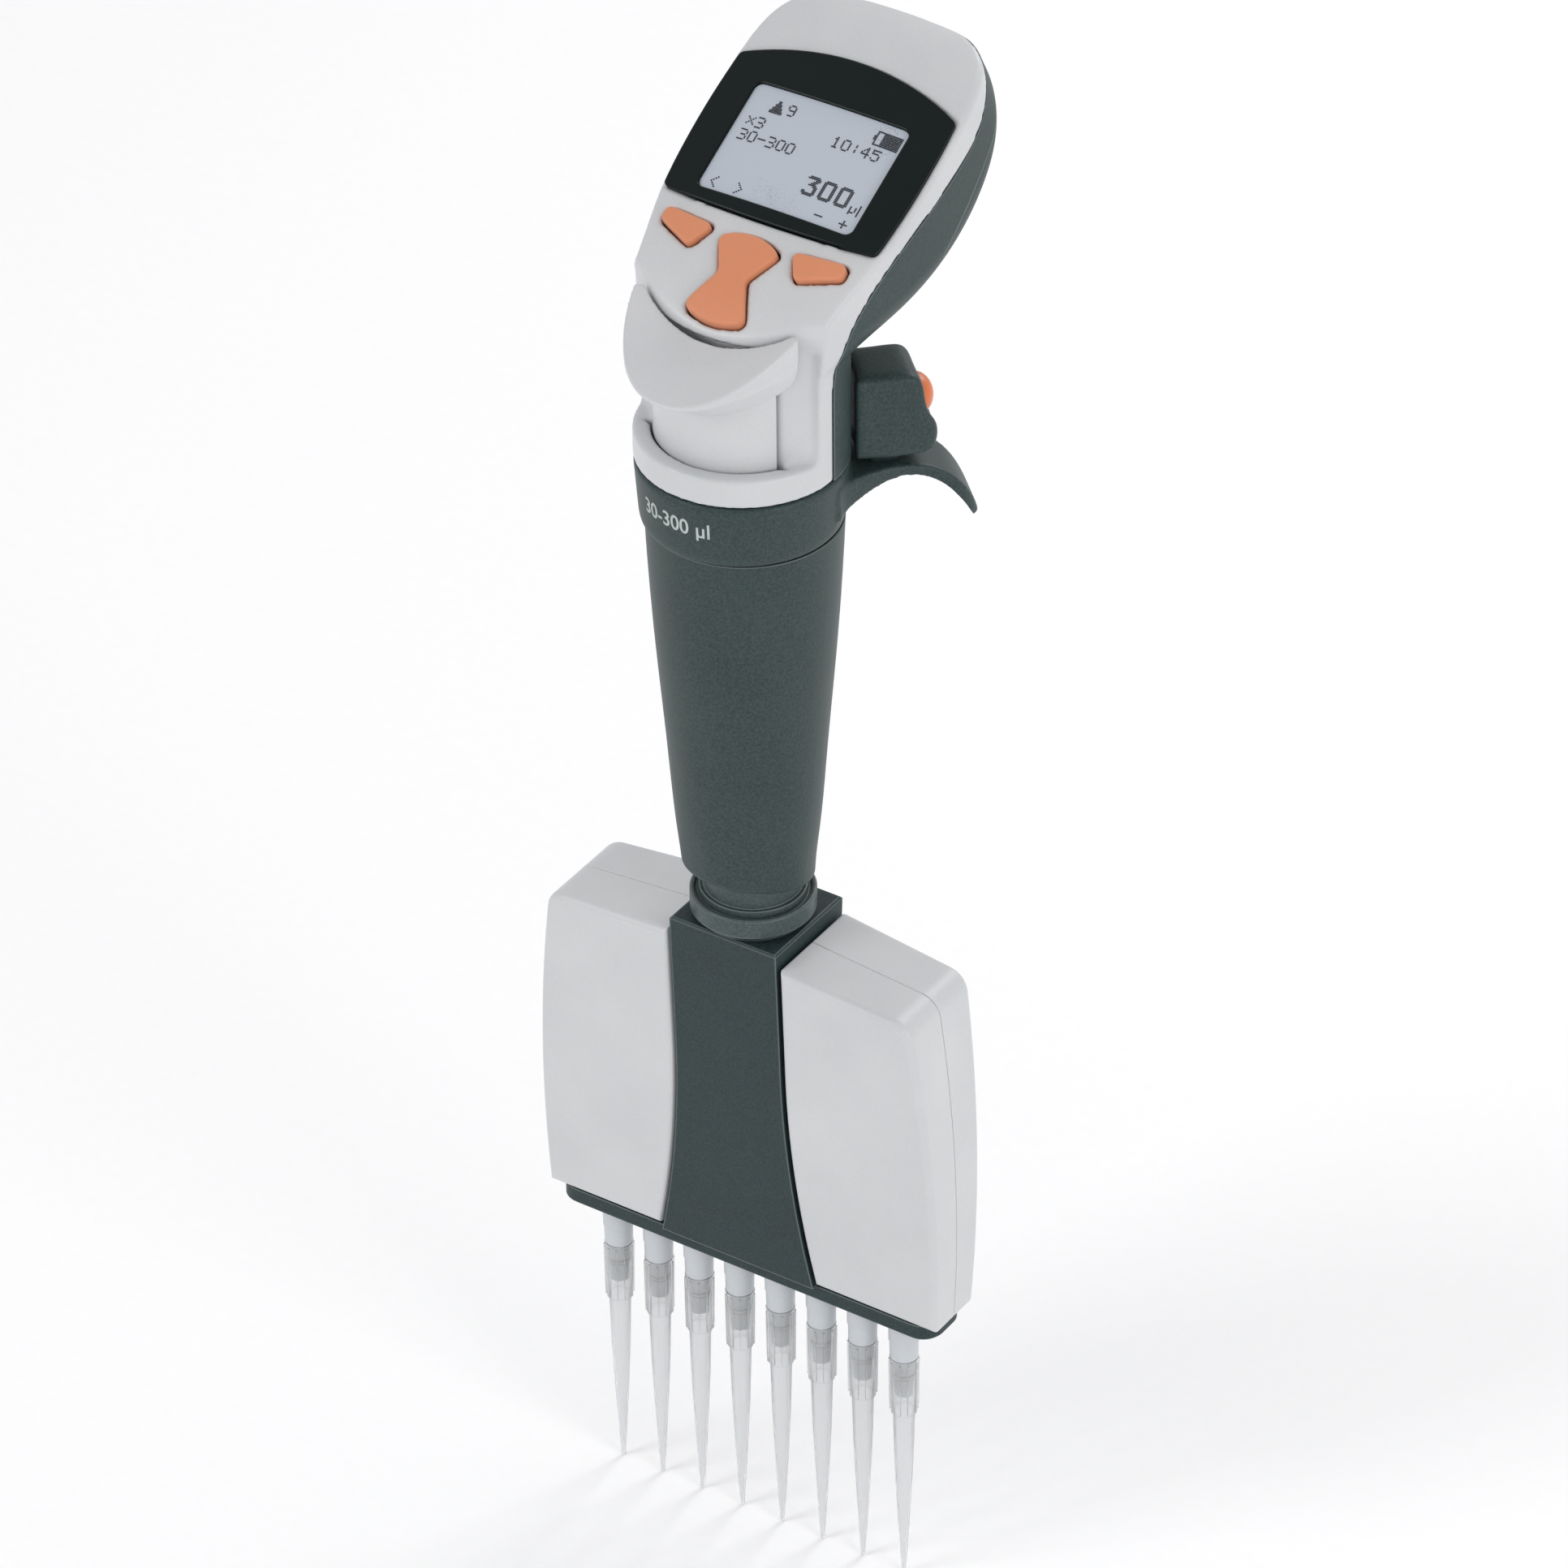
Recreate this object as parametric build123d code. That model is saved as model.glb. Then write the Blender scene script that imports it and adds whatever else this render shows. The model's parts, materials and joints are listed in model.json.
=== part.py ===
from build123d import *

import os
from math import cos, radians, sin, sqrt

# Eight-channel electronic pipette with its tips on.
# Millimetres. X runs along the row of tips, -Y is the display side, +Z is up.
# The origin is the middle of the row of tip ends.

# ---- driving dimensions ----------------------------------------------------

CHANNELS = 8
PITCH = 9.0  # channel spacing of a microplate

UPPER_Y = -2.8  # axis of collar, band, finger support and thumb button
SLEEVE_Y = -2.1  # axis of the conical handle sleeve
SWIVEL_Y = -0.8  # axis about which the lower module turns

TIP_RIM_Z = 51.5
TIP_COLLAR_Z = 38.7  # underside of the ribbed collar
TIP_TAPER_Z = 17.0  # where the cone of the tip turns finer
TIP_RIB_COUNT = 10

BAR_Z = (61.6, 65.0)  # ejector bar
BAR_HALF = (41.0, 6.0)

MODULE_BOTTOM_Z = 65.4
MODULE_TOP_Z = 137.4  # inner end of the covers
COVER_WALL = 1.8
BLOCK_TOP_Z = 140.6
BLOCK_GAP = 0.7  # shadow gap between covers and central frame
FLARE_START_Z = 113.0
FLARE_RADIUS = 222.0
COVER_INNER_X = 12.0

FLANGE_R = 11.4
NECK_R = 8.9

SLEEVE_BOTTOM_Z = 150.3  # on the sleeve axis
SLEEVE_BOTTOM_TILT = 15.0  # the lower end is cut on a slant, lower at the back
SLEEVE_TOP_Z = 226.2
SLEEVE_WALL = 1.6

BAND_Z = (226.5, 239.2)
BAND_BORE_R = 16.0
COLLAR_R = 18.8
COLLAR_Z = (239.5, 245.0)

FINGER_TURN = 44.0  # finger support turned from straight back towards +X

HEAD_POINT = (0, 16.85, 287.9)  # centre of the display window
HEAD_TILT = 29.0  # slope of the display above horizontal
HEAD_WALL = 2.0
FACE_WALL = 2.6
HEAD_FRONT_EDGE_R = 1.0
HEAD_BACK_EDGE_R = 8.0
FACE_CROWN = 1.2
# stations up the slope of the face: position, half width, face drop, back depth
HEAD_STATIONS = (
    (-46.0, 18.7, 6.0, 15.0),
    (-34.0, 18.9, 1.9, 17.0),
    (-24.0, 20.2, 0.3, 19.2),
    (-13.0, 22.3, 0.0, 21.8),
    (5.0, 23.2, 0.0, 25.0),
    (16.0, 22.9, 0.0, 23.5),
    (23.0, 22.0, 0.0, 20.5),
    (28.5, 19.6, 0.2, 16.5),
    (31.8, 15.6, 0.8, 13.0),
    (33.0, 11.0, 1.6, 11.0),
)
LCD_HALF = (15.75, 11.15)
CHIN_Y = -13.0
KEY_RISE = 1.0

THUMB_TRAVEL = 10.2
STEM_BOTTOM_Z = 243.9
STEM_REACH_Z = STEM_BOTTOM_Z - THUMB_TRAVEL - 0.7  # clear space under the pressed stem
PISTON_STROKE = 14.0
BORE_R = 2.8  # piston bore, 14 mm of it hold the nominal volume
PISTON_PLATE_Z = (102.0, 105.5)

RUNNING = 0.3  # gap between pieces that move past each other

MIDDLE = (Align.CENTER, Align.CENTER, Align.MIN)


# ---- shape helpers ---------------------------------------------------------


def lathe(profile, y=0.0, x=0.0):
    """Solid of revolution about a vertical axis, from (radius, z) points."""
    outline = Polyline(*[(r, 0, z) for r, z in profile], close=True)
    return Pos(x, y, 0) * revolve(make_face(outline.edges()), axis=Axis.Z)


def rod(radius, z0, z1, x=0.0, y=0.0):
    return Pos(x, y, z0) * Cylinder(radius, z1 - z0, align=MIDDLE)


def tube(outer, inner, z0, z1, x=0.0, y=0.0):
    return rod(outer, z0, z1, x, y) - rod(inner, z0 - 1, z1 + 1, x, y)


def slab(x0, x1, y0, y1, z0, z1):
    centre = Pos((x0 + x1) / 2, (y0 + y1) / 2, (z0 + z1) / 2)
    return centre * Box(x1 - x0, y1 - y0, z1 - z0)


def side_cut(*edges, reach=60.0):
    """Prism along X from edges drawn in the YZ plane."""
    return extrude(make_face(edges), amount=reach, dir=(1, 0, 0), both=True)


def plan_cut(edges, z0, z1):
    """Prism along Z from edges drawn at z = 0."""
    return Pos(0, 0, z0) * extrude(make_face(edges), amount=z1 - z0, dir=(0, 0, 1))


def front_cut(*edges, reach=30.0):
    """Prism along Y from edges drawn in the XZ plane."""
    return extrude(make_face(edges), amount=reach, dir=(0, 1, 0), both=True)


def yz(*points):
    return [(0, y, z) for y, z in points]


def xz(*points):
    return [(x, 0, z) for x, z in points]


def group(solids):
    return Compound(children=[part.solids()[0] for part in solids])


def channel_positions():
    first = -(CHANNELS - 1) / 2 * PITCH
    return [first + i * PITCH for i in range(CHANNELS)]


def each_channel(part):
    return group([Pos(x, 0, 0) * part for x in channel_positions()])


def coil(radius, wire, z0, z1, turns, x=0.0, y=0.0):
    """Open-ended compression spring standing on z0."""
    height = z1 - z0 - wire
    path = Helix(pitch=height / turns, height=height, radius=radius)
    ring = Plane(origin=path @ 0, z_dir=path % 0) * Circle(wire / 2)
    return Pos(x, y, z0 + wire / 2) * sweep(ring, path=path)


# ---- frames of the tilted head and of the turned finger support ------------

SLOPE = (0, cos(radians(HEAD_TILT)), sin(radians(HEAD_TILT)))
NORMAL = (0, -SLOPE[2], SLOPE[1])
HEAD_LOCATION = Location(Plane(origin=HEAD_POINT, x_dir=(1, 0, 0), z_dir=NORMAL))
FINGER_LOCATION = Pos(0, UPPER_Y, 0) * Rot(0, 0, -FINGER_TURN)


def head_box(half_x, s0, s1, deep, shallow):
    """Box inside the head, between two depths under the display plane."""
    box = Box(2 * half_x, s1 - s0, deep - shallow)
    return HEAD_LOCATION * Pos(0, (s0 + s1) / 2, -(deep + shallow) / 2) * box


# ---- head and collar -------------------------------------------------------


def head_section(station, side, face, back):
    position, half_width, drop, depth = station
    w = half_width - side
    rf = HEAD_FRONT_EDGE_R
    top = drop + face
    edge = top + FACE_CROWN
    bottom = depth - back
    rb = min(HEAD_BACK_EDGE_R - side, 0.62 * (bottom - edge - rf))
    q = 1 - sqrt(0.5)
    outline = [
        ThreePointArc((-w + rf, edge), (0, top), (w - rf, edge)),
        ThreePointArc((w - rf, edge), (w - rf * q, edge + rf * q), (w, edge + rf)),
        Line((w, edge + rf), (w, bottom - rb)),
        ThreePointArc((w, bottom - rb), (w - rb * q, bottom - rb * q), (w - rb, bottom)),
        Line((w - rb, bottom), (-w + rb, bottom)),
        ThreePointArc((-w + rb, bottom), (-w + rb * q, bottom - rb * q), (-w, bottom - rb)),
        Line((-w, bottom - rb), (-w, edge + rf)),
        ThreePointArc((-w, edge + rf), (-w + rf * q, edge + rf * q), (-w + rf, edge)),
    ]
    origin = [p + position * d for p, d in zip(HEAD_POINT, SLOPE)]
    plane = Plane(origin=origin, x_dir=(1, 0, 0), z_dir=SLOPE)
    return plane * make_face(outline)


def head_form(side=0.0, face=0.0, back=0.0, end=0.0):
    """The head's outer form, or an inner form drawn in by the given amounts."""
    sections = []
    for station in HEAD_STATIONS:
        shift = end if station[0] > 10 else 0.0
        station = (station[0] - shift,) + station[1:]
        sections.append(head_section(station, side, face, back))
    return loft(sections)


def chin_cut(extra=0.0, z0=267.3):
    """Space in front of the chin, above the thumb button's pocket."""
    edges = Polyline((-16, -8 + extra), (-19.5, -6 + extra), (-40, -6 + extra), (-40, -60),
                     (40, -60), (40, -6 + extra), (19.5, -6 + extra), (16, -8 + extra))
    arc = ThreePointArc((-16, -8 + extra), (0, CHIN_Y + extra), (16, -8 + extra))
    return plan_cut(edges.edges() + arc.edges(), z0, 300)


def pocket_cut(extra=0.0, z0=COLLAR_Z[1], z1=267.4):
    """Pocket behind the thumb button: flat back, slanted cheeks."""
    edges = Polyline((-40, -60), (40, -60), (40, -6.5 + extra), (17.2, -6.5 + extra),
                     (12.9, -10.2 + extra), (-12.9, -10.2 + extra), (-17.2, -6.5 + extra),
                     (-40, -6.5 + extra), close=True)
    return plan_cut(edges.edges(), z0, z1)


def stem_outline(radius, cut_y):
    """Segment of a circle about the upper axis, in front of cut_y."""
    half = sqrt(radius**2 - (cut_y - UPPER_Y) ** 2)
    chord = Line((half, cut_y), (-half, cut_y))
    arc = ThreePointArc((-half, cut_y), (0, UPPER_Y - radius), (half, cut_y))
    return chord.edges() + arc.edges()


def head_shell():
    outer = head_form() + rod(COLLAR_R, COLLAR_Z[0], 266, y=UPPER_Y)
    inner = head_form(HEAD_WALL, FACE_WALL, HEAD_WALL, end=HEAD_WALL)
    inner += rod(COLLAR_R - HEAD_WALL, COLLAR_Z[0] - 1, 266, y=UPPER_Y)
    inner -= chin_cut(extra=HEAD_WALL, z0=260)
    inner -= pocket_cut(extra=1.6, z0=COLLAR_Z[0] - 2, z1=269.4)
    shell = outer - chin_cut() - pocket_cut() - inner
    shell -= plan_cut(stem_outline(15.7, -10.6), COLLAR_Z[0] - 1, 250)
    return shell - slab(-14.5, 14.5, -11.2, -10.2, COLLAR_Z[0] - 1, COLLAR_Z[1] + 0.2)


def front_region():
    """Everything in front of the parting line between the white and grey shells."""
    parting = Spline(*yz((-2.5, 256), (-1.4, 263), (2.5, 270.5), (9, 276.9), (19.5, 281.9),
                         (31, 286.6), (38, 291), (43, 297.3), (60, 302)),
                     tangents=[(0, 0, 1), (0, 1, 0.05)])
    frame = Polyline(*yz((60, 302), (60, 340), (-70, 340), (-70, 230), (-2.5, 230), (-2.5, 256)))
    return side_cut(*(parting.edges() + frame.edges()))


def battery_door_region(gap=0.0):
    """Back of the head behind the door seam."""
    edges = Polyline((0, -1 - gap, -40), (0, -gap, -18.4), (0, 9, -16.6), (0, 24, -13.2),
                     (0, 40, -9.4), (0, 40, -40), close=True)
    return HEAD_LOCATION * side_cut(*edges.edges())


def key_outline(sign, grow=0.0):
    g = grow
    points = [(7.8 - g, -17.4 + g), (18.2 + g, -16.3 + g), (18.4 + g, -19.0 - g), (10.8 - g, -22.4 - g)]
    outline = Polyline(*[(sign * x, s) for x, s in points], close=True)
    return fillet(make_face(outline.edges()).vertices(), 1.0 + g / 2)


def rocker_outline(grow=0.0):
    g = grow
    top, bottom, side = -19.0 + g, -32.4 - g, 6.2 + g
    waist = (2.7 + g, -25.2)
    edges = [
        ThreePointArc((-side, top), (0, -17.0 + g), (side, top)),
        Line((side, top), waist),
        Line(waist, (side, bottom)),
        ThreePointArc((side, bottom), (0, -34.0 - g), (-side, bottom)),
        Line((-side, bottom), (-waist[0], waist[1])),
        Line((-waist[0], waist[1]), (-side, top)),
    ]
    return fillet(make_face(edges).vertices(), 1.4)


def bezel_outline(grow=0.0):
    g = grow
    edges = [
        ThreePointArc((-21.5 - g, -12.8 - g), (0, -13.8 - g), (21.5 + g, -12.8 - g)),
        ThreePointArc((21.5 + g, -12.8 - g), (22.4 + g, 3.5), (21.9 + g, 15.6 + g)),
        ThreePointArc((21.9 + g, 15.6 + g), (0, 20.1 + g), (-21.9 - g, 15.6 + g)),
        ThreePointArc((-21.9 - g, 15.6 + g), (-22.4 - g, 3.5), (-21.5 - g, -12.8 - g)),
    ]
    return fillet(make_face(edges).vertices(), 1.2)


def window_outline(grow=0.0):
    return RectangleRounded(2 * (LCD_HALF[0] + grow), 2 * (LCD_HALF[1] + grow), 1.5)


def on_head(sketch, low, high):
    return HEAD_LOCATION * Pos(0, 0, low) * extrude(sketch, amount=high - low, dir=(0, 0, 1))


def socket_place():
    return HEAD_LOCATION * Pos(0, 33.2, -6.2) * Rot(-90, 0, 0)


def front_and_rear_housing():
    shell = head_shell()
    region = front_region()
    front = shell & region
    front -= on_head(bezel_outline(0.15), -1.7, 6)
    front -= on_head(window_outline(0.6), -8, 6)
    for outline in (key_outline(-1, RUNNING), key_outline(1, RUNNING), rocker_outline(RUNNING)):
        front -= on_head(outline, -8, 6)
    rear = shell - region
    door_region = battery_door_region()
    door = rear & door_region
    rear -= battery_door_region(gap=0.2)
    hole = socket_place() * Cylinder(2.9, 16)
    return front - hole, rear - hole, door


def keys():
    cap = head_form(side=-1.0, face=-KEY_RISE)
    parts = {}
    for name, outline in (("left_key", key_outline(-1)), ("right_key", key_outline(1)),
                          ("rocker_key", rocker_outline())):
        parts[name] = on_head(outline, -3.8, 6) & cap
    return parts


def battery():
    cell = head_box(16.0, -16.0, 22.0, 17.6, 9.0)
    return fillet(cell.edges().filter_by(Axis.X, reverse=True), 1.2)


def display():
    glass = head_form(side=-1.0, face=-0.5)
    bezel = (on_head(bezel_outline(), -1.6, 6) & glass) - on_head(window_outline(), -6, 6)
    window = on_head(window_outline(-0.1), -3.2, 6) & head_form(face=0.0)
    return {
        "display_bezel": bezel,
        "lcd_panel": window,
        "lcd_module": head_box(18.5, -13.6, 13.6, 6.6, 4.2),
        "circuit_board": head_box(17.0, -27.0, 24.0, 8.2, 7.0),
        "keypad_mat": head_box(16.0, -28.5, -15.5, 6.4, 5.4),
        "battery": battery(),
    }


def charging_socket():
    body = Cylinder(2.8, 8.0) - Pos(0, 0, 1) * Cylinder(1.75, 8.0)
    return socket_place() * Pos(0, 0, -4.2) * body


def chassis_tube():
    bearing = BAND_BORE_R - RUNNING
    profile = [(12.8, 214), (14.3, 214), (14.3, 224.4), (14.7, 224.8), (14.7, 226.8), (bearing, 226.8),
               (bearing, 229.4), (14.7, 230.4), (14.7, 262), (12.8, 262)]
    full = lathe(profile, y=UPPER_Y)
    return full - slab(-20, 20, -30, -3.5, STEM_REACH_Z, 270)


# ---- thumb button and ejector drive ----------------------------------------

LIP_Y = -27.6  # foremost point of the thumb button
LIP_HALF_X = 17.8
LIP_REACH = 26.5
SADDLE_SLOPE = 0.375  # fall of the button's top towards the lip
FLARE_SLOPE = 0.62  # rise of its underside towards the lip


def thumb_button():
    """Crescent that follows the chin, dips like a saddle and ends in a far-reaching lip."""
    chin = ThreePointArc((-15.4, -9.1), (0, CHIN_Y - 0.6), (15.4, -9.1))
    around = Polyline((15.4, -9.1), (18.1, -11.2), (18.1, -40), (-18.1, -40), (-18.1, -11.2), (-15.4, -9.1))
    body = Pos(0, LIP_Y + LIP_REACH, 245) * extrude(Ellipse(LIP_HALF_X, LIP_REACH), amount=30)
    body &= plan_cut([chin, *around.edges()], 245, 275)
    saddle = [
        ThreePointArc((-20, 0, 276.7), (0, 0, 272.2), (20, 0, 276.7)),
        *Polyline(*xz((20, 276.7), (20, 200), (-20, 200), (-20, 276.7))).edges(),
    ]
    body &= extrude(make_face(saddle), amount=60, dir=(0, -1, -SADDLE_SLOPE))
    flare = [(0, 244.3), (6.1, 245.8), (11.4, 250.1), (15.4, 256.4), (17.2, 261.7), (18.6, 267.3)]
    under = [
        Spline(*xz(*[(-x, z) for x, z in reversed(flare[1:])], *flare)),
        *Polyline(*xz(flare[-1], (18.6, 330), (-18.6, 330), (-18.6, 267.3))).edges(),
    ]
    body &= extrude(make_face(under), amount=60, dir=(0, -1, FLARE_SLOPE))
    front = [
        ThreePointArc((-18, 0, 264.5), (0, 0, 255.5), (18, 0, 264.5)),
        *Polyline(*xz((18, 264.5), (18, 280), (-18, 280), (-18, 264.5))).edges(),
    ]
    return body & front_cut(*front)


def thumb_stem():
    """Part-round stem under the crescent, running down into the collar."""
    stem = plan_cut(stem_outline(15.3, -11.0), STEM_BOTTOM_Z, 263.0)
    slope = Polyline(*yz((-30, 246), (-30, 200), (-5, 200), (-5, 262.8), (-12, 262.8),
                         (-18.1, 257.0), (-18.1, 246)), close=True)
    return stem & side_cut(*slope.edges())


EJECTOR_ROD_Y = -13.4
YOKE_Z = (188.0, 191.0)
EJECTOR_TUBE_R = (6.5, 7.5)


def ejector_yoke():
    yoke = tube(9.6, EJECTOR_TUBE_R[0], *YOKE_Z, y=SWIVEL_Y)
    yoke += slab(-1.6, 1.6, EJECTOR_ROD_Y - 0.8, -9.0, *YOKE_Z)
    yoke += tube(EJECTOR_TUBE_R[1], EJECTOR_TUBE_R[0], 148.0, YOKE_Z[1], y=SWIVEL_Y)
    return yoke


def spring_seat():
    ring = rod(11.9, 171.5, 173.5, y=SLEEVE_Y)
    return ring - rod(EJECTOR_TUBE_R[1] + RUNNING, 170, 175, y=SWIVEL_Y)


# ---- handle ----------------------------------------------------------------


def handle_sleeve():
    top = 17.45
    outer = [
        Line((0, 0, 140), (11.2, 0, 140)),
        Line((11.2, 0, 140), (11.9, 0, 152.0)),
        Spline((11.9, 0, 152.0), (12.7, 0, 160.0), (14.05, 0, 176.3), (16.05, 0, 201.3),
               (top, 0, SLEEVE_TOP_Z), tangents=[(0.7, 0, 12), (0.04, 0, 1)]),
        Line((top, 0, SLEEVE_TOP_Z), (0, 0, SLEEVE_TOP_Z)),
        Line((0, 0, SLEEVE_TOP_Z), (0, 0, 140)),
    ]
    body = Pos(0, SLEEVE_Y, 0) * revolve(make_face(outer), axis=Axis.Z)
    foot = Pos(0, SLEEVE_Y, SLEEVE_BOTTOM_Z) * Rot(-SLEEVE_BOTTOM_TILT, 0, 0)
    body -= foot * Box(60, 60, 40, align=(Align.CENTER, Align.CENTER, Align.MAX))
    body = fillet(body.faces().sort_by(Axis.Z)[0].outer_wire().edges(), 1.6)
    wall = SLEEVE_WALL
    hollow = lathe([(0, 158.5), (12.75 - wall, 158.5), (14.05 - wall, 176.3), (16.05 - wall, 201.3),
                    (top - wall, SLEEVE_TOP_Z + 1), (0, SLEEVE_TOP_Z + 1)], y=SLEEVE_Y)
    return body - hollow - rod(NECK_R + RUNNING, 130, 160, y=SWIVEL_Y)


def finger_support():
    """Rotating band with the curved finger hook, one moulding."""
    band = lathe([(BAND_BORE_R, BAND_Z[0]), (17.2, BAND_Z[0]), (17.75, 227.1), (18.0, 228.3),
                  (18.75, 238.6), (18.4, BAND_Z[1]), (17.1, BAND_Z[1]), (BAND_BORE_R, 229.6)])
    top = Spline(*yz((14.5, 236.4), (20.0, 236.0), (27.0, 235.8), (32.4, 234.6), (36.6, 231.6),
                     (39.4, 227.6), (41.0, 223.4)))
    tip = ThreePointArc((0, 41.0, 223.4), (0, 40.7, 222.4), (0, 39.9, 222.8))
    under = Spline(*yz((39.9, 222.8), (37.3, 227.4), (33.7, 231.3), (28.7, 233.4), (23.6, 233.0),
                       (17.7, 230.9), (14.5, 229.6)))
    root = Line((0, 14.5, 229.6), (0, 14.5, 236.4))
    hook = side_cut(top, tip, under, root)
    plan = [
        Spline((14.5, 12.5), (19.0, 8.2), (26.0, 6.2), (36.0, 5.9), tangents=[(0.3, -1, 0), (1, 0, 0)]),
        ThreePointArc((36.0, 5.9), (42.0, 0), (36.0, -5.9)),
        Spline((36.0, -5.9), (26.0, -6.2), (19.0, -8.2), (14.5, -12.5), tangents=[(-1, 0, 0), (-0.3, -1, 0)]),
        Line((14.5, -12.5), (14.5, 12.5)),
    ]
    hook &= Rot(0, 0, 90) * plan_cut(plan, 215, 245)
    hook -= rod(16.9, 210, 250)
    return FINGER_LOCATION * (band + hook)


BUTTON_Z = 246.5
BUTTON_R = 3.9
BUTTON_D = 27.6
BOX_HALF = 6.0


def trigger_box():
    """Housing of the trigger on the finger hook, with a scooped back for the button."""
    back = Spline(*yz((30.6, 237.2), (33.3, 239.2), (33.4, 242.8), (31.7, 246.2), (31.0, 250.2),
                      (30.2, 252.8), (27.6, 253.9)))
    base = Polyline(*yz((27.6, 253.9), (17.0, 254.2), (17.0, 237.4), (30.6, 237.2)))
    body = side_cut(back, *base.edges(), reach=BOX_HALF)
    body &= Pos(0, 25.0, 230) * extrude(RectangleRounded(2 * BOX_HALF, 18.0, 1.6), amount=40)
    body -= rod(COLLAR_R + 0.6, 230, 260)
    body += slab(-4.0, 4.0, 21.5, 27.5, 235.2, 238.4)
    body -= Pos(0, 24.8, BUTTON_Z) * Rot(-90, 0, 0) * Cylinder(BUTTON_R + RUNNING, 30, align=MIDDLE)
    body -= slab(-4.6, 4.6, 21.4, 24.9, 241.0, 251.6)
    return FINGER_LOCATION * body


def trigger_button():
    stalk = Pos(0, BUTTON_D, BUTTON_Z) * Rot(-90, 0, 0) * Cylinder(BUTTON_R, 3.0, align=MIDDLE)
    dome = Pos(0, BUTTON_D + 2.8, BUTTON_Z) * scale(Sphere(BUTTON_R), by=(1, 0.85, 1))
    return FINGER_LOCATION * (stalk + dome)


def trigger_spring():
    spring = Rot(-90, 0, 0) * coil(1.9, 0.35, 0.1, BUTTON_D - 25.1, 3)
    return FINGER_LOCATION * Pos(0, 24.9, BUTTON_Z) * spring


# ---- metering drive --------------------------------------------------------


def motor():
    body = rod(10.0, 193.0, 217.0, y=SWIVEL_Y)
    return body - rod(2.4, 190.0, 199.0, y=SWIVEL_Y)


def motor_mount():
    ring = rod(12.6, 217.0, 219.0, y=UPPER_Y)
    return ring - slab(-2.6, 2.6, -30, -11.6, 210, 230)


def push_rod():
    shank = rod(2.5, 105.8, 147.0, y=SWIVEL_Y)
    barrel = tube(4.5, 2.3, 146.8, 172.0, y=SWIVEL_Y) + rod(4.5, 144.6, 147.0, y=SWIVEL_Y)
    return shank + barrel


# ---- lower module ----------------------------------------------------------


def flare_edge(offset=0.0):
    """Concave inner edge of a cover in front view, from the top down."""
    drop = FLARE_START_Z - 60.0
    bulge = FLARE_RADIUS - sqrt(FLARE_RADIUS**2 - drop**2)
    half_bulge = FLARE_RADIUS - sqrt(FLARE_RADIUS**2 - (drop / 2) ** 2)
    x = COVER_INNER_X + offset
    upright = Line((x, 0, 145.0), (x, 0, FLARE_START_Z))
    middle = (x + half_bulge, 0, FLARE_START_Z - drop / 2)
    flare = ThreePointArc((x, 0, FLARE_START_Z), middle, (x + bulge, 0, 60.0))
    return upright, flare, (x + bulge, 0, 60.0)


def cover_form(inset=0.0):
    """Right-hand cover pair as one block; with an inset it is the inner space."""
    k = inset
    upright, flare, foot = flare_edge()
    outer = ThreePointArc((41.9 - k, 0, 60.0), (42.4 - k, 0, 98.0), (36.8 - k, 0, 145.0))
    if inset:
        outline = [Line((5, 0, 145), (5, 0, 60)), Line((5, 0, 60), outer @ 0), outer,
                   Line(outer @ 1, (5, 0, 145))]
    else:
        outline = [upright, flare, Line(foot, outer @ 0), outer,
                   Line(outer @ 1, (COVER_INNER_X, 0, 145.0))]
    body = front_cut(*outline)
    near = Plane.YZ.offset(5.0) * make_face(Polyline(
        (-11.6 + k, 139), (11.6 - k, 139), (7.95 - k, 60), (-7.95 + k, 60), close=True).edges())
    far = Plane.YZ.offset(48.0) * make_face(Polyline(
        (-9.9 + k, 139), (9.9 - k, 139), (6.2 - k, 60), (-6.2 + k, 60), close=True).edges())
    body &= loft([near, far])
    slope = 0.088
    top = MODULE_TOP_Z - k
    low = MODULE_BOTTOM_Z + 1.2 if not inset else 50.0
    band = Polyline(*xz((0, top + 12 * slope), (60, top - 48 * slope), (60, low - 2.0),
                        (0, low + 0.6)), close=True)
    return body & front_cut(*band.edges())


def cover_pair():
    outer = cover_form()
    corner = outer.edges().filter_by(Axis.Y).sort_by(lambda e: e.center().X + e.center().Z)[-1]
    outer = fillet(corner, 4.5)
    by_depth = outer.faces().sort_by(Axis.Y)
    outer = fillet(by_depth[0].edges() + by_depth[-1].edges(), 1.4)
    return outer - cover_form(COVER_WALL)


def covers():
    pair = cover_pair()
    front = pair & slab(0, 60, -20, -0.1, 40, 160)
    rear = pair & slab(0, 60, 0.1, 20, 40, 160)
    return {
        "right_front_cover": front,
        "right_rear_cover": rear,
        "left_front_cover": mirror(front, Plane.YZ),
        "left_rear_cover": mirror(rear, Plane.YZ),
    }


def centre_frame():
    """Dark frame between the covers: front and back walls, top plate, open sides."""
    gap = BLOCK_GAP
    right = flare_edge(-gap)
    left = [mirror(edge, Plane.YZ) for edge in right[:2]]
    x = right[2][0]
    top = COVER_INNER_X - gap
    outline = [right[0], right[1], Line((x, 0, 60.0), (-x, 0, 60.0)), left[1], left[0],
               Line((-top, 0, 145.0), (top, 0, 145.0))]
    body = front_cut(*outline) & slab(-30, 30, -20, 20, 65.3, BLOCK_TOP_Z)
    depth = Polyline(*yz((-11.0, 141), (11.0, 141), (7.2, 60), (-7.2, 60)), close=True)
    body &= side_cut(*depth.edges())
    body = chamfer(body.faces().sort_by(Axis.Z)[-1].edges(), 0.4)
    room = Polyline(*yz((-9.2, 135.4), (9.2, 135.4), (5.7, 60), (-5.7, 60)), close=True)
    body -= side_cut(*room.edges())
    return body - rod(8.0, 130, 150, y=SWIVEL_Y)


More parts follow.
